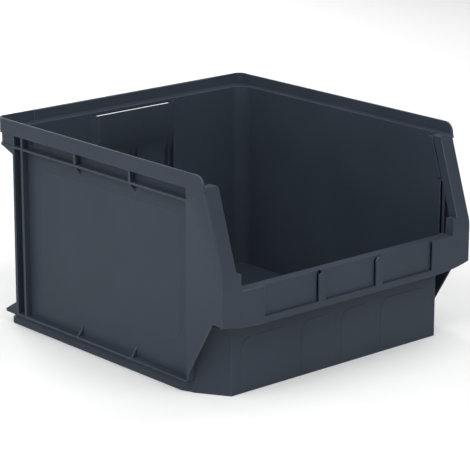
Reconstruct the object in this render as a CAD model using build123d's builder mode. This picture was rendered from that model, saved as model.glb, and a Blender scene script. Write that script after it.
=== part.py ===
from build123d import *
import os

os.makedirs("parts", exist_ok=True)

# Overall size, front lip at -Y, floor at Z 0, the bin symmetric about X 0
width = 470.0
length = 500.0
rim_setback = 37.0
height = 310.0
skin = 3.0

half_width = width / 2
y_rear = length / 2
y_lip = -length / 2
y_top_front = y_lip + rim_setback

# Tub walls, set in from the outside by the rim and foot overhang
side_overhang = 11.0
rear_overhang = 17.0
x_wall = half_width - side_overhang
x_inner = x_wall - skin
y_wall = y_rear - rear_overhang
y_inner = y_wall - skin
tub_corner_radius = 24.0
y_corner = y_wall - tub_corner_radius
x_corner = x_wall - tub_corner_radius
floor_thickness = 4.0

# Rim band with the ledge that takes the foot of the bin stacked above
band_height = 22.0
ledge_depth = 16.0
ledge_thickness = 6.0
z_band = height - band_height
z_ledge = height - ledge_depth
z_wall_top = z_ledge - ledge_thickness
band_corner_radius = 13.0
band_nose_radius = 14.0
x_band_inner = half_width - skin
y_band_inner = y_rear - skin

# Flange below the rim recess
flange_thickness = 3.0
recess_height = 15.5
z_flange_top = z_band - recess_height
z_flange = z_flange_top - flange_thickness
rear_flange_setback = 2.0

# Foot flange and the drawn-in stacking foot under it
foot_height = 17.0
foot_flange_thickness = 3.0
z_foot_top = foot_height + foot_flange_thickness
foot_setback = 5.0
foot_neck_setback = 8.5
foot_face_height = 8.5
x_foot = half_width - foot_setback
foot_rear_setback = 14.0
foot_flange_setback = 7.0
foot_neck_gap = 1.0
y_foot_rear = y_rear - foot_rear_setback
y_foot_flange_rear = y_rear - foot_flange_setback

# Upright front wall, set back under the lip
front_wall_setback = 27.0
corner_cut = 39.5
lip_height = 52.5
y_front_wall = y_lip + front_wall_setback
front_half_width = half_width - corner_cut

# Front lip with the label holder
z_lip_bottom = 103.0
z_lip_top = z_lip_bottom + lip_height
z_chamfer_top = z_lip_bottom + skin
lip_rise = 9.0
lip_flat_margin = 70.0
lip_flat_half = half_width - lip_flat_margin
lip_top_depth = 19.0
y_well_inner = y_lip + lip_top_depth
y_well_outer = y_well_inner - skin
lip_end_margin = 34.0
x_lip_end = half_width - lip_end_margin
label_bar_height = 9.0
z_label_bar = z_lip_bottom + label_bar_height
label_half_width = 159.5
tongue_width = 13.0
tongue_pitch = 54.5
tongue_thickness = 2.0
tongue_drop = 3.0
tongue_tip_flat = 0.1
card_gap = 2.2
z_tongue_top = z_lip_top - tongue_drop

# Front posts at both sides of the opening
crease_rise = 24.5
z_crease = z_lip_top + crease_rise
post_width = 26.0
x_post_inner = half_width - post_width
post_return_depth = 14.5
post_corner_radius = 5.0
cheek_overlap = 36.0
y_cheek_rear = y_top_front + cheek_overlap
y_chamfer_rear = y_cheek_rear
z_cheek_front = z_lip_bottom + lip_rise
cheek_low_front_setback = 20.0
cheek_low_rear_gap = 7.0
cheek_low_rise = 16.0
y_cheek_low_front = y_lip + cheek_low_front_setback
y_cheek_low_rear = y_cheek_rear - cheek_low_rear_gap
z_cheek_low = z_foot_top + cheek_low_rise
foot_front_gap = 17.0
y_foot_front = y_cheek_rear + foot_front_gap

# Ribs and gussets on the sides
rear_rib_thickness = 4.0
rear_rib_setback = 42.0
rear_rib_pitch = 20.0
y_rear_rib = y_rear - rear_rib_setback
y_second_rib = y_rear_rib - rear_rib_pitch
rear_rib_stations = (y_rear_rib, y_second_rib)
side_rib_rear_run = 123.0
side_rib_front_run = 120.0
y_side_rib_rear = y_second_rib - side_rib_rear_run
y_side_rib_front = y_cheek_rear + side_rib_front_run
side_stations = (y_side_rib_rear, y_side_rib_front)
recess_rib_thickness = 4.0
gusset_thickness = 2.5
rim_gusset_height = 13.0
foot_gusset_height = 15.0
end_gusset_height = 9.0
grip_end_gap = 4.0

# Raised fields on the side walls
field_step = 0.7
field_step_gap = 16.0
panel_rear_margin = 15.0
panel_front_margin = 23.0
panel_bottom_margin = 48.0
panel_top_margin = 22.5
y_field_step = y_second_rib - field_step_gap
panel_rear = y_field_step - panel_rear_margin
panel_front = y_cheek_rear + panel_front_margin
panel_bottom = z_foot_top + panel_bottom_margin
panel_top = z_flange - panel_top_margin
panel_corner_radius = 22.0
panel_height = 1.2
panel_chamfer = 1.0
boss_gap = 9.0
boss_drop = 8.0
y_boss = y_field_step + boss_gap
z_boss = z_wall_top - boss_drop
boss_radius = 3.6
boss_hole_radius = 1.8
boss_height = 1.5

# Zones where the rails round the tub are divided
split_margin = 4.0
x_split = x_corner - split_margin
y_split = y_corner - split_margin

# Hand grip in the rear wall and its hood inside the bin
grip_half_width = 71.0
hood_flare = 11.0
grip_opening_margin = 8.0
grip_height = 30.0
grip_corner_radius = 5.0
hood_depth = 12.0
hood_gap = 3.4
hood_face_drop = 8.0
hood_slope_height = 14.0
hood_shoulder = 4.0
x_hood_foot = grip_half_width + hood_flare
grip_opening_half = x_hood_foot - grip_opening_margin
z_grip_sill = z_wall_top - grip_height
z_hood_top = z_ledge - hood_gap
z_hood_face_bottom = z_grip_sill - hood_face_drop
z_hood_foot = z_hood_face_bottom - hood_slope_height
x_grip_end = x_hood_foot + grip_end_gap
rear_stations = (x_grip_end + recess_rib_thickness / 2, (x_grip_end + x_split) / 2)

# Guide rib pairs below the hood for a partition
guide_gap = 8.0
guide_thickness = 3.0
guide_depth = 8.0
guide_rise = 4.0
z_guide_top = z_grip_sill + guide_rise

# Pane slot inside each front post
slot_width = 4.0
slot_drop = 58.0
ridge_depth = 26.0
ridge_height = 3.0
ridge_width = 7.0
front_rib_thickness = 5.0
front_rib_setback = 37.0
front_rib_foot_drop = 9.5
front_rib_top_drop = 64.0
narrow_slot = 7.0
y_front_rib = y_lip + front_rib_setback
z_front_rib_low = z_lip_top - front_rib_foot_drop
z_front_rib_top = z_wall_top - front_rib_top_drop


def prism_x(points, x0, x1):
    """Prism between two X planes from an outline of (Y, Z) points."""
    with BuildPart() as prism:
        with BuildSketch(Plane.YZ.offset(x0)):
            Polygon(*points, align=None)
        extrude(amount=x1 - x0)
    return prism.part


def prism_z(points, z0, z1):
    """Prism between two heights from an outline of (X, Y) points."""
    with BuildPart() as prism:
        with BuildSketch(Plane.XY.offset(z0)):
            Polygon(*points, align=None)
        extrude(amount=z1 - z0)
    return prism.part


def prism_y(points, y0, y1):
    """Prism between two Y planes from an outline of (X, Z) points."""
    with BuildPart() as prism:
        with BuildSketch(Plane.XZ.offset(-y0)):
            Polygon(*points, align=None)
        extrude(amount=y0 - y1)
    return prism.part


def block(x0, x1, y0, y1, z0, z1):
    """Rectangular block between two opposite corners."""
    with BuildPart() as solid:
        with Locations(((x0 + x1) / 2, (y0 + y1) / 2, (z0 + z1) / 2)):
            Box(abs(x1 - x0), abs(y1 - y0), abs(z1 - z0))
    return solid.part


def u_plan(x, y, radius, z0, z1):
    """Block from the front of the bin to y with round rear corners."""
    with BuildPart() as solid:
        with BuildSketch(Plane.XY.offset(z0)):
            with Locations((0, (y_lip + y) / 2)):
                Rectangle(2 * x, y - y_lip)
            fillet(vertices().group_by(Axis.Y)[-1], radius)
        extrude(amount=z1 - z0)
    return solid.part


def save(part, name):
    """Name one solid and write it."""
    part.label = name
    export_step(part, f"parts/{name}.step")


def save_pair(part, name):
    """Write the left-hand solid and its mirror image for the right."""
    save(part, f"{name}_left")
    with BuildPart() as twin:
        add(part)
        mirror(about=Plane.YZ, mode=Mode.REPLACE)
    save(twin.part, f"{name}_right")


# Floor panel with a shallow recessed field underneath
front_edge = y_front_wall
underside_recess = 1.0
underside_margin = 26.0
with BuildPart() as floor_panel:
    with BuildSketch(Plane.XY):
        with BuildLine():
            Polyline(
                (-front_half_width, front_edge),
                (front_half_width, front_edge),
                (x_wall, y_chamfer_rear),
                (x_wall, y_wall),
                (-x_wall, y_wall),
                (-x_wall, y_chamfer_rear),
                close=True,
            )
        make_face()
        fillet(vertices().group_by(Axis.Y)[-1], tub_corner_radius)
    extrude(amount=floor_thickness)
    field_front = front_edge + underside_margin
    field_rear = y_wall - underside_margin
    with BuildSketch(Plane.XY):
        with Locations((0, (field_front + field_rear) / 2)):
            RectangleRounded(2 * front_half_width - underside_margin, field_rear - field_front, underside_margin)
    extrude(amount=underside_recess, mode=Mode.SUBTRACT)
floor_panel.part.label = "floor_panel"
export_step(floor_panel.part, "parts/floor_panel.step")

# Side wall with the stepped zone and the raised rounded panel
with BuildPart() as side_wall:
    add(block(-x_wall, -x_inner, y_chamfer_rear, y_corner, floor_thickness, z_wall_top))
    add(block(-x_wall - field_step, -x_wall, y_cheek_rear, y_field_step, z_foot_top, z_flange))
    add(block(-x_wall - field_step, -x_wall, y_cheek_rear, y_field_step, z_flange_top, z_wall_top))
    with BuildSketch(Plane.YZ.offset(-x_wall)):
        with Locations((y_boss, z_boss)):
            Circle(boss_radius)
            Circle(boss_hole_radius, mode=Mode.SUBTRACT)
    extrude(amount=-boss_height)
    with BuildSketch(Plane.YZ.offset(-x_wall - field_step)):
        with Locations(((panel_rear + panel_front) / 2, (panel_bottom + panel_top) / 2)):
            RectangleRounded(panel_rear - panel_front, panel_top - panel_bottom, panel_corner_radius)
    extrude(amount=-panel_height)
    chamfer(side_wall.faces().sort_by(Axis.X)[0].edges(), panel_chamfer)
save_pair(side_wall.part, "side_wall")

# Rear wall with the hand-grip opening under the rim
with BuildPart() as rear_wall:
    add(block(-x_corner, x_corner, y_inner, y_wall, floor_thickness, z_wall_top))
    with BuildSketch(Plane.XZ.offset(-y_wall)):
        with Locations((0, (z_grip_sill + z_wall_top) / 2)):
            Rectangle(2 * grip_opening_half, z_wall_top - z_grip_sill)
        fillet(vertices().group_by(Axis.Y)[0], grip_corner_radius)
    extrude(amount=skin, mode=Mode.SUBTRACT)
rear_wall.part.label = "rear_wall"
export_step(rear_wall.part, "parts/rear_wall.step")

# Rounded tub corners at the rear
with BuildPart() as rear_corner:
    with BuildSketch(Plane.XY.offset(floor_thickness)):
        with Locations((-x_corner, y_corner)):
            Circle(tub_corner_radius)
            Circle(tub_corner_radius - skin, mode=Mode.SUBTRACT)
        with Locations((-x_corner - tub_corner_radius / 2, y_corner + tub_corner_radius / 2)):
            Rectangle(tub_corner_radius, tub_corner_radius, mode=Mode.INTERSECT)
    extrude(amount=z_wall_top - floor_thickness)
save_pair(rear_corner.part, "rear_corner")

# Front wall with shallow flutes outside and a shelf that widens the well behind the lip
z_front_top = z_lip_top - skin
flute_depth = 0.8
flute_height = 75.0
flute_radius = 18.0
inner_flute_near = 8.0
inner_flute_far = 67.0
outer_flute_near = 85.0
outer_flute_margin = 18.0
flute_zones = (
    (inner_flute_near, inner_flute_far),
    (outer_flute_near, front_half_width - outer_flute_margin),
)
with BuildPart() as front_wall:
    add(
        block(
            -front_half_width,
            front_half_width,
            y_front_wall,
            y_front_wall + skin,
            floor_thickness,
            z_chamfer_top,
        )
    )
    add(block(-x_wall, x_wall, y_well_outer, y_front_wall, z_lip_bottom, z_chamfer_top))
    add(block(-x_inner, x_inner, y_well_outer, y_well_inner, z_chamfer_top, z_front_top))
    with BuildSketch(Plane.XZ.offset(-y_front_wall)):
        for near, far in flute_zones:
            for side in (-1, 1):
                with Locations((side * (near + far) / 2, floor_thickness + flute_height / 2)):
                    Rectangle(far - near, flute_height)
        fillet(vertices().group_by(Axis.Y)[-1], flute_radius)
    extrude(amount=flute_depth)
front_wall.part.label = "front_wall"
export_step(front_wall.part, "parts/front_wall.step")

# Slanted lower corner of the tub with the small shelf that closes it
chamfer_run = x_wall - front_half_width
chamfer_rise = y_chamfer_rear - y_front_wall
chamfer_len = (chamfer_run**2 + chamfer_rise**2) ** 0.5
inset_x = skin * chamfer_len / chamfer_rise
inset_y = skin * chamfer_len / chamfer_run
z_shelf = z_chamfer_top - skin
with BuildPart() as front_corner:
    add(
        prism_z(
            [
                (-front_half_width, y_front_wall),
                (-front_half_width, y_front_wall + inset_y),
                (-x_wall + inset_x, y_chamfer_rear),
                (-x_wall, y_chamfer_rear),
            ],
            floor_thickness,
            z_chamfer_top,
        )
    )
    add(
        prism_z(
            [
                (-front_half_width, y_front_wall),
                (-x_wall, y_front_wall),
                (-x_wall, y_chamfer_rear),
            ],
            z_shelf,
            z_chamfer_top,
        )
    )
save_pair(front_corner.part, "front_corner")


# Slope of the post face and a helper for planes parallel to it
post_slope = (y_top_front - y_lip) / (z_ledge - z_crease)
post_stretch = (1 + post_slope**2) ** 0.5
edge_reach = 1.0


def post_plane(z, depth=0.0):
    """Y of a plane parallel to the post face, set back by depth."""
    return y_top_front + (z - z_ledge) * post_slope + depth * post_stretch


def behind_post(depth):
    """Outline of everything deeper than depth behind the post and lip front."""
    y_low = y_lip + depth
    z_bend = z_ledge + (y_low - depth * post_stretch - y_top_front) / post_slope
    return [
        (post_plane(z_wall_top, depth), z_wall_top),
        (y_low, z_bend),
        (y_low, 0.0),
        (y_cheek_rear, 0.0),
        (y_cheek_rear, z_wall_top),
    ]


def front_skin(x0, x1, z1):
    """Upright front skin of the lip between two X planes, up to z1."""
    with BuildPart() as sheet:
        with BuildSketch(Plane.XZ.offset(-y_lip)):
            with BuildLine():
                Line((-lip_flat_half, z_lip_bottom), (lip_flat_half, z_lip_bottom))
                for side in (-1, 1):
                    TangentArc(
                        (side * lip_flat_half, z_lip_bottom),
                        (side * half_width, z_cheek_front),
                        tangent=(side, 0),
                    )
                Polyline(
                    (half_width, z_cheek_front),
                    (half_width, z1),
                    (-half_width, z1),
                    (-half_width, z_cheek_front),
                )
            make_face()
            with Locations(((x0 + x1) / 2, z1 / 2)):
                Rectangle(x1 - x0, z1, mode=Mode.INTERSECT)
        extrude(amount=-skin)
    return sheet.part


# Front post: flush cheek, sloped face and the return that hides the pane slot
cheek_outline = [
    (y_cheek_rear, z_wall_top),
    (post_plane(z_wall_top), z_wall_top),
    (y_lip, z_crease),
    (y_lip, z_cheek_front),
    (y_cheek_low_front, z_cheek_front),
    (y_cheek_low_rear, z_cheek_low),
    (y_cheek_rear, z_foot_top),
]
with BuildPart() as front_post:
    add(prism_x(cheek_outline, -half_width, -x_post_inner))
    add(prism_x(behind_post(skin), skin - half_width, -x_post_inner - skin), mode=Mode.SUBTRACT)
    add(prism_x(behind_post(post_return_depth), skin - half_width, -x_post_inner), mode=Mode.SUBTRACT)
    add(
        block(-x_post_inner - skin, -x_post_inner, y_lip + skin, y_top_front, 0, z_lip_top),
        mode=Mode.SUBTRACT,
    )
    add(block(-x_post_inner, -x_lip_end, y_lip, y_lip + post_return_depth, z_lip_top, z_crease))
    add(
        block(
            -x_post_inner - skin,
            -x_lip_end - skin,
            y_lip + skin,
            y_lip + post_return_depth,
            z_lip_top,
            z_crease - skin,
        ),
        mode=Mode.SUBTRACT,
    )
    add(front_skin(-half_width, -x_lip_end, z_lip_top))
    add(
        block(
            -half_width,
            -x_wall,
            y_cheek_rear - skin,
            y_cheek_rear,
            z_foot_top,
            z_wall_top,
        )
    )
    seat = prism_x(
        [
            (post_plane(z_wall_top, post_return_depth - skin), z_wall_top),
            (y_lip + post_return_depth - skin, z_crease),
            (y_lip + post_return_depth, z_crease),
            (post_plane(z_wall_top, post_return_depth), z_wall_top),
        ],
        -x_inner,
        -x_post_inner - skin,
    )
    add(seat)
    corner_edges = [
        e
        for e in front_post.edges()
        if abs(e.center().X + half_width) < 0.01
        and e.length > z_crease - z_lip_top
        and e.center().Y < post_plane(e.center().Z, edge_reach)
    ]
    fillet(corner_edges, post_corner_radius)
save_pair(front_post.part, "front_post")

# Lip between the posts with the set-back label panel
y_tongue_back = y_lip + tongue_thickness
y_panel = y_tongue_back + card_gap
panel_overlap = 8.0
panel_half = label_half_width + panel_overlap
slot_clear = 0.8
slot_end_gap = 2.0
z_slot_low = z_label_bar + slot_end_gap
z_slot_top = z_tongue_top - slot_end_gap
with BuildPart() as front_lip:
    add(front_skin(-x_lip_end, x_lip_end, z_lip_top))
    with BuildSketch(Plane.XZ.offset(-y_lip)):
        with Locations((0, (z_lip_top + z_lip_bottom) / 2)):
            Rectangle(2 * label_half_width, z_lip_top - z_lip_bottom)
    extrude(amount=-skin, mode=Mode.SUBTRACT)
    add(
        block(-panel_half, panel_half, y_tongue_back, y_lip + skin, z_lip_bottom, z_front_top),
        mode=Mode.SUBTRACT,
    )
    add(block(-panel_half, panel_half, y_panel, y_panel + skin, z_lip_bottom, z_front_top))
    for side in (-1, 1):
        add(
            block(
                side * panel_half,
                side * (panel_half + skin),
                y_lip + skin,
                y_panel + skin,
                z_lip_bottom,
                z_front_top,
            )
        )
    add(block(-x_lip_end, x_lip_end, y_panel, y_lip + lip_top_depth, z_front_top, z_lip_top))
    for side in (-1, 1):
        add(
            block(
                side * label_half_width,
                side * x_lip_end,
                y_lip + skin,
                y_panel,
                z_front_top,
                z_lip_top,
            )
        )
        with BuildSketch(Plane.XZ.offset(-y_panel)):
            x_slot = side * (label_half_width - slot_clear + panel_overlap / 2)
            with Locations((x_slot, (z_slot_low + z_slot_top) / 2)):
                Rectangle(panel_overlap, z_slot_top - z_slot_low)
        extrude(amount=-skin, mode=Mode.SUBTRACT)
        with BuildSketch(Plane.XZ.offset(-y_panel)):
            with Locations((side * tongue_pitch, (z_slot_low + z_slot_top) / 2)):
                RectangleRounded(tongue_width + 2 * slot_clear, z_slot_top - z_slot_low, tongue_width / 4)
        extrude(amount=-skin, mode=Mode.SUBTRACT)
front_lip.part.label = "front_lip"
export_step(front_lip.part, "parts/front_lip.step")

# Label comb: sill bar with two round-topped tongues, free of the panel
with BuildPart() as label_comb:
    add(block(-label_half_width, label_half_width, y_lip, y_panel, z_lip_bottom, z_label_bar))
    with BuildSketch(Plane.XZ.offset(-y_lip)):
        for side in (-1, 1):
            with Locations((side * tongue_pitch, (z_label_bar + z_tongue_top) / 2)):
                Rectangle(tongue_width, z_tongue_top - z_label_bar)
        fillet(vertices().group_by(Axis.Y)[-1], tongue_width / 2 - tongue_tip_flat)
    extrude(amount=-tongue_thickness)
label_comb.part.label = "label_comb"
export_step(label_comb.part, "parts/label_comb.step")

# Lining behind each post with the sloped pane slot and the two narrow slots
lining_outline = [
    (y_cheek_rear, z_chamfer_top),
    (y_well_outer, z_chamfer_top),
    (y_well_outer, z_front_top),
    (y_lip + post_return_depth, z_lip_top),
    (y_lip + post_return_depth, z_crease),
    (post_plane(z_wall_top, post_return_depth), z_wall_top),
    (post_plane(z_wall_top, ridge_depth - slot_width), z_wall_top),
    (post_plane(z_wall_top - slot_drop, ridge_depth - slot_width), z_wall_top - slot_drop),
    (post_plane(z_wall_top - slot_drop, ridge_depth), z_wall_top - slot_drop),
    (post_plane(z_wall_top, ridge_depth), z_wall_top),
    (y_cheek_rear, z_wall_top),
]
with BuildPart() as pane_guide:
    add(prism_x(lining_outline, -x_wall, -x_inner))
    for side in (-1, 1):
        y_slot = y_front_rib + side * (front_rib_thickness + narrow_slot) / 2
        add(
            block(
                -x_wall,
                -x_inner,
                y_slot - narrow_slot / 2,
                y_slot + narrow_slot / 2,
                z_front_rib_low,
                z_front_rib_top,
            ),
            mode=Mode.SUBTRACT,
        )
    add(
        block(
            -x_inner,
            ridge_height - x_inner,
            y_front_rib - front_rib_thickness / 2,
            y_front_rib + front_rib_thickness / 2,
            z_front_rib_low,
            z_front_rib_top,
        )
    )
    z_ridge_low = z_wall_top - slot_drop
    add(
        prism_x(
            [
                (post_plane(z_wall_top, ridge_depth), z_wall_top),
                (post_plane(z_ridge_low, ridge_depth), z_ridge_low),
                (post_plane(z_ridge_low, ridge_depth + ridge_width), z_ridge_low),
                (post_plane(z_wall_top, ridge_depth + ridge_width), z_wall_top),
            ],
            -x_inner,
            ridge_height - x_inner,
        )
    )
save_pair(pane_guide.part, "pane_guide")

# Rails round the tub, built whole and divided at the corner zones
tub_plan = (x_wall, y_wall, tub_corner_radius)
inner_plan = (x_inner, y_inner, tub_corner_radius - skin)


def rail(outer, inner, z0, z1):
    """Ring between two U-shaped outlines given as (x, y, radius)."""
    with BuildPart() as ring:
        add(u_plan(*outer, z0, z1))
        add(u_plan(*inner, z0, z1), mode=Mode.SUBTRACT)
    return ring.part


def zone(part, x0, x1, y0, y1):
    """The share of a rail that lies between four upright planes."""
    with BuildPart() as share:
        add(part)
        add(block(x0, x1, y0, y1, -height, 2 * height), mode=Mode.INTERSECT)
    return share.part


# Rim: upright band with the stacking ledge inside it
band_outer = (half_width, y_rear, band_corner_radius)
band_inner = (x_band_inner, y_band_inner, band_corner_radius - skin)
with BuildPart() as rim:
    add(rail(band_outer, band_inner, z_band, height))
    add(rail(band_inner, inner_plan, z_wall_top, z_ledge))

cap_radius = 3.0
cap_ramp = 6.0
cap_outline = [
    (post_plane(z_wall_top), z_wall_top),
    (y_top_front, z_ledge),
    (post_plane(z_wall_top, post_return_depth), z_ledge),
    (post_plane(z_wall_top, post_return_depth), z_wall_top),
]
with BuildPart() as rim_side:
    add(zone(rim.part, -half_width, 0, y_top_front, y_split))
    nose_edges = rim_side.edges().filter_by(Axis.X).group_by(Axis.Y)[0].group_by(Axis.Z)[-1]
    fillet(nose_edges, band_nose_radius)
    add(prism_x(cap_outline, -half_width, -x_post_inner))
    cap_edges = [
        e
        for e in rim_side.edges()
        if e.length > ledge_thickness
        and abs(e.center().X + x_post_inner) < edge_reach
        and e.center().Z > z_ledge - edge_reach
    ]
    fillet(cap_edges, cap_radius)
save_pair(rim_side.part, "rim_side")

centre_band_half = 170.0
centre_band_step = 2.0
with BuildPart() as rim_rear:
    add(zone(rim.part, -x_split, x_split, y_split, y_rear))
    add(
        block(
            -centre_band_half,
            centre_band_half,
            y_band_inner - centre_band_step,
            y_band_inner,
            z_ledge,
            height,
        )
    )
rim_rear.part.label = "rim_rear"
export_step(rim_rear.part, "parts/rim_rear.step")

with BuildPart() as rim_corner:
    add(zone(rim.part, -half_width, -x_split, y_split, y_rear))
save_pair(rim_corner.part, "rim_corner")

# Flange under the rim recess with ribs in the recess and gussets below
flange_outer = (half_width, y_rear - rear_flange_setback, band_corner_radius)
with BuildPart() as flange:
    add(rail(flange_outer, tub_plan, z_flange, z_flange_top))

x_field = x_wall + field_step


def recess_rib(x0, x1, y0, y1):
    """Upright rib across the rim recess."""
    return block(x0, x1, y0, y1, z_flange_top, z_band)


with BuildPart() as rim_flange:
    add(zone(flange.part, -half_width, 0, y_cheek_rear, y_split))
    rib_half = recess_rib_thickness / 2
    for y in side_stations:
        add(recess_rib(-half_width, -x_field, y - rib_half, y + rib_half))
        add(
            prism_y(
                [
                    (-half_width, z_flange),
                    (-x_field, z_flange),
                    (-x_field, z_flange - rim_gusset_height),
                ],
                y - gusset_thickness / 2,
                y + gusset_thickness / 2,
            )
        )
    y = rear_rib_stations[1]
    add(recess_rib(-half_width, -x_wall, y, y + rear_rib_thickness))
save_pair(rim_flange.part, "rim_flange")

with BuildPart() as flange_rear:
    add(zone(flange.part, -x_split, -x_grip_end, y_split, y_rear))
    for x in rear_stations:
        add(recess_rib(-x - rib_half, -x + rib_half, y_wall, y_rear - rear_flange_setback))
save_pair(flange_rear.part, "rim_flange_rear")

closure_setback = 1.5
closure_outer = tuple(size - closure_setback for size in flange_outer)
closure_inner = tuple(size - skin for size in closure_outer)
with BuildPart() as flange_corner:
    add(zone(flange.part, -half_width, -x_split, y_split, y_rear))
    y = rear_rib_stations[0]
    add(recess_rib(-half_width, -x_wall, y, y + rear_rib_thickness))
    add(zone(rail(closure_outer, closure_inner, z_flange_top, z_band), -half_width, -x_split, y, y_rear))
save_pair(flange_corner.part, "rim_flange_corner")

# Upright ribs on the sides near the rear, the rearmost with end gussets
for number, y in enumerate(rear_rib_stations, start=1):
    with BuildPart() as rear_rib:
        add(block(-half_width, -x_wall, y, y + rear_rib_thickness, z_foot_top, z_flange))
        if number == 1:
            y_back = y + rear_rib_thickness
            add(
                prism_x(
                    [
                        (y_back, z_flange),
                        (y_rear - band_corner_radius, z_flange),
                        (y_back, z_flange - end_gusset_height),
                    ],
                    -half_width,
                    gusset_thickness - half_width,
                )
            )
            add(
                prism_x(
                    [
                        (y_back, z_foot_top),
                        (y_foot_flange_rear - skin, z_foot_top),
                        (y_back, z_foot_top + end_gusset_height),
                    ],
                    -half_width,
                    gusset_thickness - half_width,
                )
            )
    save_pair(rear_rib.part, f"rear_rib_{number}")

# Foot: flange with gussets above, neck and drawn-in stacking foot below
foot_flange_outer = (half_width, y_foot_flange_rear, tub_corner_radius / 3)
foot_outer = (x_foot, y_foot_rear, tub_corner_radius / 2)
foot_inner = (x_foot - skin, y_wall, tub_corner_radius / 2 - skin)
neck_plan = (half_width - foot_neck_setback, y_wall + foot_neck_gap, tub_corner_radius)
with BuildPart() as foot:
    add(rail(foot_flange_outer, tub_plan, foot_height, z_foot_top))
    add(rail(foot_outer, foot_inner, 0, foot_face_height))
    for z, plan in ((foot_face_height, foot_outer), (foot_height, neck_plan)):
        with BuildSketch(Plane.XY.offset(z)):
            with Locations((0, (y_lip + plan[1]) / 2)):
                Rectangle(2 * plan[0], plan[1] - y_lip)
            fillet(vertices().group_by(Axis.Y)[-1], plan[2])
    loft()
    add(u_plan(*tub_plan, foot_face_height, foot_height), mode=Mode.SUBTRACT)
    for side in (-1, 1):
        add(
            prism_y(
                [
                    (side * (x_foot - skin), 0),
                    (side * (x_foot - skin), foot_face_height),
                    (side * x_wall, foot_height - skin),
                    (side * x_wall, 0),
                ],
                y_lip,
                y_split,
            ),
            mode=Mode.SUBTRACT,
        )

with BuildPart() as foot_side:
    add(zone(foot.part, -half_width, -x_wall, y_cheek_rear, y_split))
    add(
        prism_z(
            [
                (-half_width, y_foot_front),
                (-x_foot, y_foot_front),
                (-x_wall, y_cheek_rear + skin),
                (-x_wall, y_cheek_rear),
                (-half_width, y_cheek_rear),
            ],
            0,
            foot_height,
        ),
        mode=Mode.SUBTRACT,
    )
    add(
        prism_z(
            [
                (-x_foot, y_foot_front),
                (-x_wall, y_cheek_rear + skin),
                (-x_wall, y_cheek_rear + 2 * skin),
                (skin - x_foot, y_foot_front),
            ],
            0,
            foot_height,
        )
    )
    for y in side_stations:
        add(
            prism_y(
                [
                    (-half_width, z_foot_top),
                    (-x_field, z_foot_top),
                    (-x_field, z_foot_top + foot_gusset_height),
                ],
                y - gusset_thickness / 2,
                y + gusset_thickness / 2,
            )
        )
save_pair(foot_side.part, "foot_side")

with BuildPart() as foot_rear:
    add(zone(foot.part, -x_split, x_split, y_split, y_rear))
foot_rear.part.label = "foot_rear"
export_step(foot_rear.part, "parts/foot_rear.step")

with BuildPart() as foot_corner:
    add(zone(foot.part, -half_width, -x_split, y_split, y_rear))
save_pair(foot_corner.part, "foot_corner")

# Hood over the hand-grip opening, open along the top under the rim
y_hood = y_inner - hood_depth
hood_outline = [
    (y_inner, z_hood_foot),
    (y_hood, z_hood_face_bottom),
    (y_hood, z_hood_top),
    (y_inner, z_hood_top),
]
hood_hollow = [
    (y_inner, z_hood_foot + 2 * skin),
    (y_hood + skin, z_hood_face_bottom + skin / 2),
    (y_hood + skin, z_hood_top),
    (y_inner, z_hood_top),
]
hood_plan = [
    (-x_hood_foot, y_inner),
    (-grip_half_width, y_hood),
    (grip_half_width, y_hood),
    (x_hood_foot, y_inner),
]
hollow_plan = [(x - skin if x > 0 else x + skin, y) for x, y in hood_plan]


def hood_block(outline, plan):
    """Side outline of the hood cut to its plan."""
    with BuildPart() as solid:
        add(prism_x(outline, -x_hood_foot, x_hood_foot))
        add(prism_z(plan, z_hood_foot, z_hood_top), mode=Mode.INTERSECT)
    return solid.part


with BuildPart() as grip_hood:
    add(hood_block(hood_outline, hood_plan))
    upright = [
        e
        for e in grip_hood.edges().filter_by(Axis.Z)
        if e.center().Y < y_hood + edge_reach
    ]
    fillet(upright, hood_shoulder)
    add(hood_block(hood_hollow, hollow_plan), mode=Mode.SUBTRACT)
grip_hood.part.label = "grip_hood"
export_step(grip_hood.part, "parts/grip_hood.step")

# Upright guide rib pairs on the rear wall
guide_number = 0
for x in (-grip_half_width, 0, grip_half_width):
    for side in (-1, 1):
        guide_number += 1
        x_guide = x + side * (guide_gap + guide_thickness) / 2
        with BuildPart() as guide_rib:
            add(
                prism_x(
                    [
                        (y_inner, floor_thickness),
                        (y_inner, z_guide_top),
                        (y_inner - guide_depth, z_guide_top - 2 * guide_depth),
                        (y_inner - guide_depth, floor_thickness),
                    ],
                    x_guide - guide_thickness / 2,
                    x_guide + guide_thickness / 2,
                )
            )
            add(hood_block(hood_outline, hood_plan), mode=Mode.SUBTRACT)
        save(guide_rib.part, f"guide_rib_{guide_number}")
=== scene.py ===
import math

import bmesh
import bpy
from mathutils import Matrix, Vector
from mathutils.bvhtree import BVHTree


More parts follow.
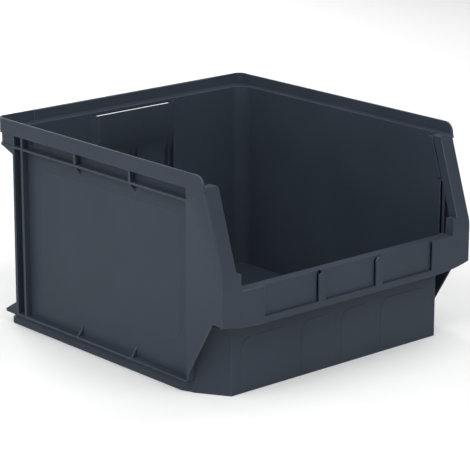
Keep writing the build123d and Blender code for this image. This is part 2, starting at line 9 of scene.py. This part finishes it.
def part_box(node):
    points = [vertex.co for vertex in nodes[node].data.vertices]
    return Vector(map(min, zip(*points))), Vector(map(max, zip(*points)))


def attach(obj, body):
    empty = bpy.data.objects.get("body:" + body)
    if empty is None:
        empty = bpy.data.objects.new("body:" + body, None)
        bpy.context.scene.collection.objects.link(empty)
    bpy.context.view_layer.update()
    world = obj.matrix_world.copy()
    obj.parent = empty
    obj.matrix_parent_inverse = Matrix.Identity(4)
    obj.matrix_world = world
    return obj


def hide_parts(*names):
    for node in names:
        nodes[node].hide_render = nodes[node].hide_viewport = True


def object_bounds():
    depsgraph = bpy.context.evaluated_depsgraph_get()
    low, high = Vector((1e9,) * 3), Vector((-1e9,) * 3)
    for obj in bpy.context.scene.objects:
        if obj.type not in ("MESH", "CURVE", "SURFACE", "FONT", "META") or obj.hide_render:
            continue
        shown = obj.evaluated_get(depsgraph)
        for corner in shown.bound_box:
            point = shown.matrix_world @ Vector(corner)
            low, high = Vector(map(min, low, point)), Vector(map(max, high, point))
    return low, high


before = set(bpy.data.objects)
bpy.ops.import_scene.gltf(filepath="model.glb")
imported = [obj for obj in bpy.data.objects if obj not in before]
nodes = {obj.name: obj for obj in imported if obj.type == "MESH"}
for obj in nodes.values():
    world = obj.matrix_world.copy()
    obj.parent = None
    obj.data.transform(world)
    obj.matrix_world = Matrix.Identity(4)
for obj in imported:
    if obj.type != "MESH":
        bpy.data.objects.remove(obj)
cad_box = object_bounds()
MM = 0.001

# ---------------------------------------------------------------- moulded skin
# The bin is one moulding, so its CAD nodes are fused here, every edge gets the
# small radius of a mould, and the skin is cut back into one piece per node.

EDGE_RADIUS = 0.9 * MM
SHARP = math.radians(28)  # a crease turns more than this
ROOM_SHARE = 0.42  # of the room beside an edge, at most, goes to its radius
SAME_PLACE = 0.05 * MM
SAME_CORNER = 0.002 * MM
SAME_SEAM = 0.02 * MM
SAME_PLANE = math.radians(0.8)

LOW, HIGH = 0, 1
X, Y, Z = 0, 1, 2


def reach(node, end, axis):
    """Where a CAD node ends, LOW or HIGH, along an axis, to a micron."""
    return round(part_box(node)[end][axis], 6)


# Where the CAD model has the moulded steps
PAD_TO_INSIDE = 3.8 * MM  # front wall and the pad on it
GUSSET_HEIGHT = 9.0 * MM
panel_x = reach("side_wall_right", HIGH, X)
pad_y = reach("front_wall", HIGH, Y) - PAD_TO_INSIDE
gusset_z = reach("rear_rib_1_left", LOW, Z) + GUSSET_HEIGHT
hood_foot_z = reach("grip_hood", LOW, Z)
hood_top_z = reach("grip_hood", HIGH, Z)

# How far each is moved to look as in the photograph
PANEL_SINK = 0.75 * MM
PAD_SINK = 0.3 * MM
GUSSET_RISE = 8.0 * MM
HOOD_FOOT_DROP = 24.0 * MM
HOOD_TOP_DROP = 0.45 * MM


def soften(name, vert):
    """Shallows the moulded steps, and draws out the gusset and the hood's foot."""
    x, y, z = vert.co
    if name.startswith("side_wall") and abs(abs(x) - panel_x) < SAME_PLACE:
        vert.co.x = math.copysign(panel_x - PANEL_SINK, x)
    if name == "front_wall" and abs(y - pad_y) < SAME_PLACE:
        vert.co.y = y + PAD_SINK
    if name.startswith("rear_rib_1") and abs(z - gusset_z) < SAME_PLACE:
        vert.co.z = z + GUSSET_RISE
    if name == "grip_hood" and z < hood_foot_z + SAME_PLACE:
        vert.co.z = z - HOOD_FOOT_DROP
    if name == "grip_hood" and z > hood_top_z - SAME_PLACE:
        vert.co.z = z - HOOD_TOP_DROP


TAG = "tag."


def welded_copy(name):
    """A copy of a CAD node with joined corners and a tag material of its own."""
    mesh = nodes[name].data.copy()
    for vert in mesh.vertices:
        soften(name, vert)
    bm = bmesh.new()
    bm.from_mesh(mesh)
    bmesh.ops.remove_doubles(bm, verts=bm.verts, dist=SAME_CORNER)
    bm.to_mesh(mesh)
    bm.free()
    mesh.materials.clear()
    mesh.materials.append(bpy.data.materials.new(TAG + name))
    for face in mesh.polygons:
        face.material_index = 0
        face.use_smooth = True
    return bpy.data.objects.new("copy." + name, mesh)


def union_of(names):
    """One closed mesh of all the named nodes, each face tagged with its node."""
    copies = [welded_copy(n) for n in names]
    base = copies[0]
    bpy.context.scene.collection.objects.link(base)
    group = bpy.data.collections.new("operands")
    for other in copies[1:]:
        group.objects.link(other)
    cut = base.modifiers.new("union", "BOOLEAN")
    cut.operation = "UNION"
    cut.operand_type = "COLLECTION"
    cut.collection = group
    cut.solver = "EXACT"
    cut.material_mode = "TRANSFER"
    graph = bpy.context.evaluated_depsgraph_get()
    mesh = bpy.data.meshes.new_from_object(
        base.evaluated_get(graph), preserve_all_data_layers=True, depsgraph=graph
    )
    for copy in copies:
        bpy.data.objects.remove(copy)
    bpy.data.collections.remove(group)
    return mesh


NO_LENGTH = 1e-12
IN_LINE = 0.85  # cosine above which two edges count as one line
SPOTS_ON_EDGE = (0.05, 0.35, 0.65, 0.95)


def gap_between(point, edge):
    """Distance from a point to an edge."""
    start = edge.verts[0].co
    along = edge.verts[1].co - start
    share = (point - start).dot(along) / max(along.length_squared, NO_LENGTH)
    return (start + along * min(1.0, max(0.0, share)) - point).length


def room_at(edge):
    """How far the radius on this edge may reach before it meets another edge."""
    room = 1.0
    start, end = (vert.co for vert in edge.verts)
    line = (end - start).normalized()
    for vert in edge.verts:
        for other in vert.link_edges:
            if other is edge:
                continue
            along = (other.verts[1].co - other.verts[0].co).normalized()
            if abs(along.dot(line)) < IN_LINE:
                room = min(room, other.calc_length())
    ends = set(edge.verts)
    spots = [start.lerp(end, share) for share in SPOTS_ON_EDGE]
    for face in edge.link_faces:
        for other in face.edges:
            if other.verts[0] in ends or other.verts[1] in ends:
                continue
            for spot in spots:
                room = min(room, gap_between(spot, other))
    return room


def bevelled(mesh):
    """The mesh with its weighted edges rounded, as triangles."""
    body = bpy.data.objects.new("skin", mesh)
    bpy.context.scene.collection.objects.link(body)
    bevel = body.modifiers.new("radius", "BEVEL")
    bevel.width = EDGE_RADIUS
    bevel.segments = 2
    bevel.limit_method = "WEIGHT"
    bevel.use_clamp_overlap = False
    bevel.miter_outer = "MITER_ARC"
    even = body.modifiers.new("even", "WEIGHTED_NORMAL")
    even.mode = "FACE_AREA"
    even.weight = 90
    even.keep_sharp = True
    tri = body.modifiers.new("tri", "TRIANGULATE")
    tri.keep_custom_normals = True
    graph = bpy.context.evaluated_depsgraph_get()
    done = bpy.data.meshes.new_from_object(
        body.evaluated_get(graph), preserve_all_data_layers=True, depsgraph=graph
    )
    bpy.data.objects.remove(body)
    return done


SPECK_AREA = 1e-10
STRAYED = 0.6 * EDGE_RADIUS
TURNED_OVER = -0.3  # cosine between a rounded face and the sharp one below it
BLAME_REACH = 3 * EDGE_RADIUS
SHORT_EDGE = 7 * EDGE_RADIUS
SHORT_FIRST = 6  # attempts that spare the long edges
# What each attempt leaves of a blamed edge's radius, and 0 leaves it sharp
SHRINK = (0.75, 0.75, 0.7, 0.7, 0.6, 0.5, 0.4, 0.3, 0, 0, 0)
NO_WEIGHT = 0.02


def faulty_spots(done, plain):
    """Places where the rounding folded or strayed, with the sharp face nearby."""
    faults = []
    for tri in done.polygons:
        if tri.area < SPECK_AREA:
            continue
        _, normal, index, away = plain.find_nearest(tri.center)
        if away > STRAYED or normal.dot(tri.normal) < TURNED_OVER:
            faults.append((tri.center.copy(), index))
    return faults


def edges_to_blame(spot, face, weight, short_only):
    """The rounded edges near a fault on a sharp face."""
    around = {e for v in face.verts for e in v.link_edges if e[weight] > 0}
    around = {e for e in around if gap_between(spot, e) < BLAME_REACH}
    short = {e for e in around if e.calc_length() < SHORT_EDGE}
    if short_only and short:
        return short
    return around or {e for e in face.edges if e[weight] > 0}


def round_edges(mesh):
    """Gives every sharp edge a mould radius, smaller where there is less room."""
    bm = bmesh.new()
    bm.from_mesh(mesh)
    bmesh.ops.remove_doubles(bm, verts=bm.verts, dist=SAME_SEAM)
    bmesh.ops.dissolve_limit(
        bm,
        angle_limit=SAME_PLANE,
        use_dissolve_boundaries=False,
        verts=bm.verts,
        edges=bm.edges,
        delimit={"MATERIAL"},
    )
    weight = bm.edges.layers.float.new("bevel_weight_edge")
    for edge in bm.edges:
        if len(edge.link_faces) == 2 and edge.calc_face_angle(0) > SHARP:
            edge[weight] = min(1.0, ROOM_SHARE * room_at(edge) / EDGE_RADIUS)
            edge.smooth = edge[weight] > NO_WEIGHT
    plain = BVHTree.FromBMesh(bm)
    bm.faces.ensure_lookup_table()
    for attempt, factor in enumerate(SHRINK):
        bm.to_mesh(mesh)
        done = bevelled(mesh)
        faults = faulty_spots(done, plain)
        if not faults:
            break
        blamed = set()
        for spot, index in faults:
            face = bm.faces[index]
            blamed |= edges_to_blame(spot, face, weight, attempt < SHORT_FIRST)
        for edge in blamed:
            edge[weight] *= factor
            edge.smooth = edge[weight] > NO_WEIGHT
    bm.free()
    return done


NARROW = 0.6 * EDGE_RADIUS
FLAT = 0.07  # radians: a face that turns less only cuts off part of a wide one
FULL_TURN = 0.8  # radians: a face that turns this far gets the full painted highlight


# Painted highlight mask: the narrow convex faces of the edge radii are painted paler
# later, standing in for the light they catch.
def paint_edge_highlights(mesh):
    """Marks the narrow faces of the edge radii for the painted edge highlight: above 0
    convex, below 0 concave.
    """
    bm = bmesh.new()
    bm.from_mesh(mesh)
    bm.normal_update()
    layer = bm.faces.layers.float.new("wear")
    narrow = set()
    for face in bm.faces:
        longest = max(edge.calc_length() for edge in face.edges)
        if face.calc_area() < longest * NARROW:
            narrow.add(face)
    for face in narrow:
        pairs = [(e, f) for e in face.edges for f in e.link_faces if f is not face]
        if any(e.calc_face_angle(0) < FLAT and f not in narrow for e, f in pairs):
            continue
        longest = max(edge.calc_length() for edge in face.edges)
        turns = (e.calc_face_angle_signed(0.0) * e.calc_length() for e, f in pairs)
        face[layer] = max(-1.0, min(1.0, sum(turns) / longest / FULL_TURN))
    bm.to_mesh(mesh)
    bm.free()


def cut_to_nodes(mesh, names):
    """One object per node from the tagged faces, shading kept across the cuts."""
    kept = "kept_normal"
    normals = mesh.attributes.new(kept, "FLOAT_VECTOR", "CORNER")
    flat = [0.0] * (3 * len(mesh.loops))
    mesh.corner_normals.foreach_get("vector", flat)
    normals.data.foreach_set("vector", flat)
    tags = [m.name.removeprefix(TAG) for m in mesh.materials]
    pieces = {}
    for name in names:
        if name not in tags:
            continue
        index = tags.index(name)
        bm = bmesh.new()
        bm.from_mesh(mesh)
        drop = [face for face in bm.faces if face.material_index != index]
        bmesh.ops.delete(bm, geom=drop, context="FACES")
        for face in bm.faces:
            face.material_index = 0
        piece = bpy.data.meshes.new("moulded_" + name)
        bm.to_mesh(piece)
        bm.free()
        vectors = [0.0] * (3 * len(piece.loops))
        piece.attributes[kept].data.foreach_get("vector", vectors)
        piece.attributes.remove(piece.attributes[kept])
        if "custom_normal" in piece.attributes:
            piece.attributes.remove(piece.attributes["custom_normal"])
        triples = [Vector(vectors[i : i + 3]) for i in range(0, len(vectors), 3)]
        piece.normals_split_custom_set(triples)
        piece.materials.clear()
        pieces[name] = bpy.data.objects.new("moulded_" + name, piece)
    return pieces


# ---------------------------------------------------------------- plastic
BASE = (0.0340, 0.0440, 0.0592)
ROUGHNESS = 0.46
CLOUDING = 0.07  # share by which the colour strays up and down
# Colour of the painted edge highlight: a lighter copy of the plastic
HIGHLIGHT_GAIN = 2.1
HIGHLIGHT_LIFT = 0.02


def shade(gain, lift=0.0):
    """The plastic's colour, made lighter or darker."""
    return [min(1, channel * gain + lift) for channel in BASE] + [1]


def moulded_plastic(name):
    """Dyed polypropylene: fine mould grain, faint flow clouding, and painted highlights on
    the convex edges.
    """
    mat = bpy.data.materials.new(name)
    mat.use_nodes = True
    tree = mat.node_tree
    tree.nodes.clear()
    new = tree.nodes.new
    link = tree.links.new
    place = new("ShaderNodeTexCoord")

    def noise(scale, detail):
        node = new("ShaderNodeTexNoise")
        node.inputs["Scale"].default_value = scale
        node.inputs["Detail"].default_value = detail
        link(place.outputs["Object"], node.inputs["Vector"])
        return node.outputs["Fac"]

    def remap(value, **ends):
        node = new("ShaderNodeMapRange")
        for end, number in ends.items():
            node.inputs[end.replace("_", " ")].default_value = number
        link(value, node.inputs["Value"])
        return node.outputs["Result"]

    def bump(height, strength, distance):
        node = new("ShaderNodeBump")
        node.inputs["Strength"].default_value = strength
        node.inputs["Distance"].default_value = distance
        link(height, node.inputs["Height"])
        return node

    cloud = noise(scale=9.0, detail=3.0)
    tone = new("ShaderNodeValToRGB")
    dark, light = tone.color_ramp.elements
    dark.position, dark.color = 0.3, shade(1 - CLOUDING)
    light.position, light.color = 0.7, shade(1 + CLOUDING)
    link(cloud, tone.inputs["Fac"])

    # Painted highlight: the convex edge radii are mixed towards a paler colour, broken up
    # by fine noise, standing in for the light their rounding catches.
    wear = new("ShaderNodeAttribute")
    wear.attribute_name = "wear"
    highlight_strength = new("ShaderNodeMath")
    highlight_strength.operation = "MULTIPLY"
    link(remap(wear.outputs["Fac"], From_Min=0.15, To_Max=1.1), highlight_strength.inputs[0])
    link(noise(scale=160.0, detail=4.0), highlight_strength.inputs[1])
    colour = new("ShaderNodeMix")
    colour.data_type = "RGBA"
    colour.inputs["B"].default_value = shade(HIGHLIGHT_GAIN, HIGHLIGHT_LIFT)
    link(highlight_strength.outputs["Value"], colour.inputs["Factor"])
    link(tone.outputs["Color"], colour.inputs["A"])

    grain = bump(noise(scale=900.0, detail=2.0), strength=0.6, distance=0.12 * MM)
    swell = bump(noise(scale=14.0, detail=1.0), strength=0.35, distance=1.2 * MM)
    link(grain.outputs["Normal"], swell.inputs["Normal"])

    shader = new("ShaderNodeBsdfPrincipled")
    shader.inputs["IOR"].default_value = 1.49
    shader.inputs["Specular IOR Level"].default_value = 0.12
    rough = remap(cloud, To_Min=ROUGHNESS - 0.05, To_Max=ROUGHNESS + 0.06)
    link(colour.outputs["Result"], shader.inputs["Base Color"])
    link(rough, shader.inputs["Roughness"])
    link(swell.outputs["Normal"], shader.inputs["Normal"])
    out = new("ShaderNodeOutputMaterial")
    link(shader.outputs["BSDF"], out.inputs["Surface"])
    return mat


# ---------------------------------------------------------------- pieces
plastic = moulded_plastic("dyed_plastic")
names = sorted(nodes)
skin = round_edges(union_of(names))
# Mask for the painted edge highlights
paint_edge_highlights(skin)
pieces = cut_to_nodes(skin, names)
for name, piece in pieces.items():
    for vert in piece.data.vertices:
        vert.co = [min(max(v, low), high) for v, low, high in zip(vert.co, *cad_box)]
    bpy.context.scene.collection.objects.link(piece)
    piece.data.materials.append(plastic)
    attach(piece, "root")
    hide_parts(name)
for name in names:
    if name not in pieces:
        for slot in nodes[name].material_slots:
            slot.material = plastic

# ---------------------------------------------------------------- studio
FLOOR_REACH = 14.0
FLOOR_GAP = 0.2 * MM

floor_mesh = bpy.data.meshes.new("studio_floor")
bm = bmesh.new()
bmesh.ops.create_grid(bm, x_segments=2, y_segments=2, size=FLOOR_REACH)
bm.to_mesh(floor_mesh)
bm.free()
studio_floor = bpy.data.objects.new("studio_floor", floor_mesh)
studio_floor.location.z = -FLOOR_GAP
bpy.context.scene.collection.objects.link(studio_floor)
paper = bpy.data.materials.new("studio_paper")
paper.use_nodes = True
sheet = paper.node_tree.nodes["Principled BSDF"].inputs
sheet["Base Color"].default_value = (0.80, 0.80, 0.80, 1)
sheet["Emission Color"].default_value = (1, 1, 1, 1)
sheet["Emission Strength"].default_value = 0.07
sheet["Roughness"].default_value = 0.9
sheet["Specular IOR Level"].default_value = 0.1
floor_mesh.materials.append(paper)

world = bpy.data.worlds.new("studio_sky")
world.use_nodes = True
sky = world.node_tree.nodes["Background"].inputs
sky["Color"].default_value = (1, 1, 1, 1)
sky["Strength"].default_value = 0.06
bpy.context.scene.world = world
bpy.context.scene.view_settings.view_transform = "Standard"

AIM = Vector((0, 0, 0.15))
SOFTBOXES = {  # place, side length and power, in metres and watts
    "left_light": ((-2.2, 0.2, 2.6), 2.0, 42.0),
    "low_light": ((-3.2, 0.3, 1.2), 2.2, 26.0),
    "key_light": ((-2.9, -1.3, 2.0), 1.4, 12.0),
    "near_light": ((-0.75, -0.9, 1.7), 0.5, 6.0),
    "front_light": ((0.2, -2.2, 2.6), 2.0, 50.0),
    "front_fill": ((0.2, -3.2, 1.4), 2.0, 17.0),
    "right_light": ((2.2, 0.2, 2.6), 2.0, 35.0),
    "rear_light": ((0.5, 3.2, 1.4), 2.2, 100.0),
}
for name, (place, side, power) in SOFTBOXES.items():
    lamp = bpy.data.lights.new(name, "AREA")
    lamp.shape = "SQUARE"
    lamp.size = side
    lamp.energy = power
    softbox = bpy.data.objects.new(name, lamp)
    softbox.location = place
    softbox.rotation_euler = (AIM - Vector(place)).to_track_quat("-Z", "Y").to_euler()
    bpy.context.scene.collection.objects.link(softbox)

# ---------------------------------------------------------------- camera
# Found from the photograph's rim and floor lines. Azimuth 0 looks along +Y.
FRAME_PX = 470.0
FOCAL_PX = 2251.45
SENSOR_WIDTH = 36.0
EYE = Vector((-2065.83, -2371.65, 1049.1)) * MM
azimuth = math.radians(-41.14)
pitch = math.radians(16.11)

lens = bpy.data.cameras.new("photo_camera")
lens.sensor_width = SENSOR_WIDTH
lens.lens = FOCAL_PX / FRAME_PX * SENSOR_WIDTH
lens.clip_start = 0.05
lens.clip_end = 60.0
right = Vector((math.cos(azimuth), math.sin(azimuth), 0))
level = Vector((math.sin(azimuth), -math.cos(azimuth), 0))
back = level * math.cos(pitch) + Vector((0, 0, math.sin(pitch)))
axes = Matrix((right, back.cross(right), back)).transposed()
camera = bpy.data.objects.new("photo_camera", lens)
camera.matrix_world = Matrix.Translation(EYE) @ axes.to_4x4()
bpy.context.scene.collection.objects.link(camera)
bpy.context.scene.camera = camera
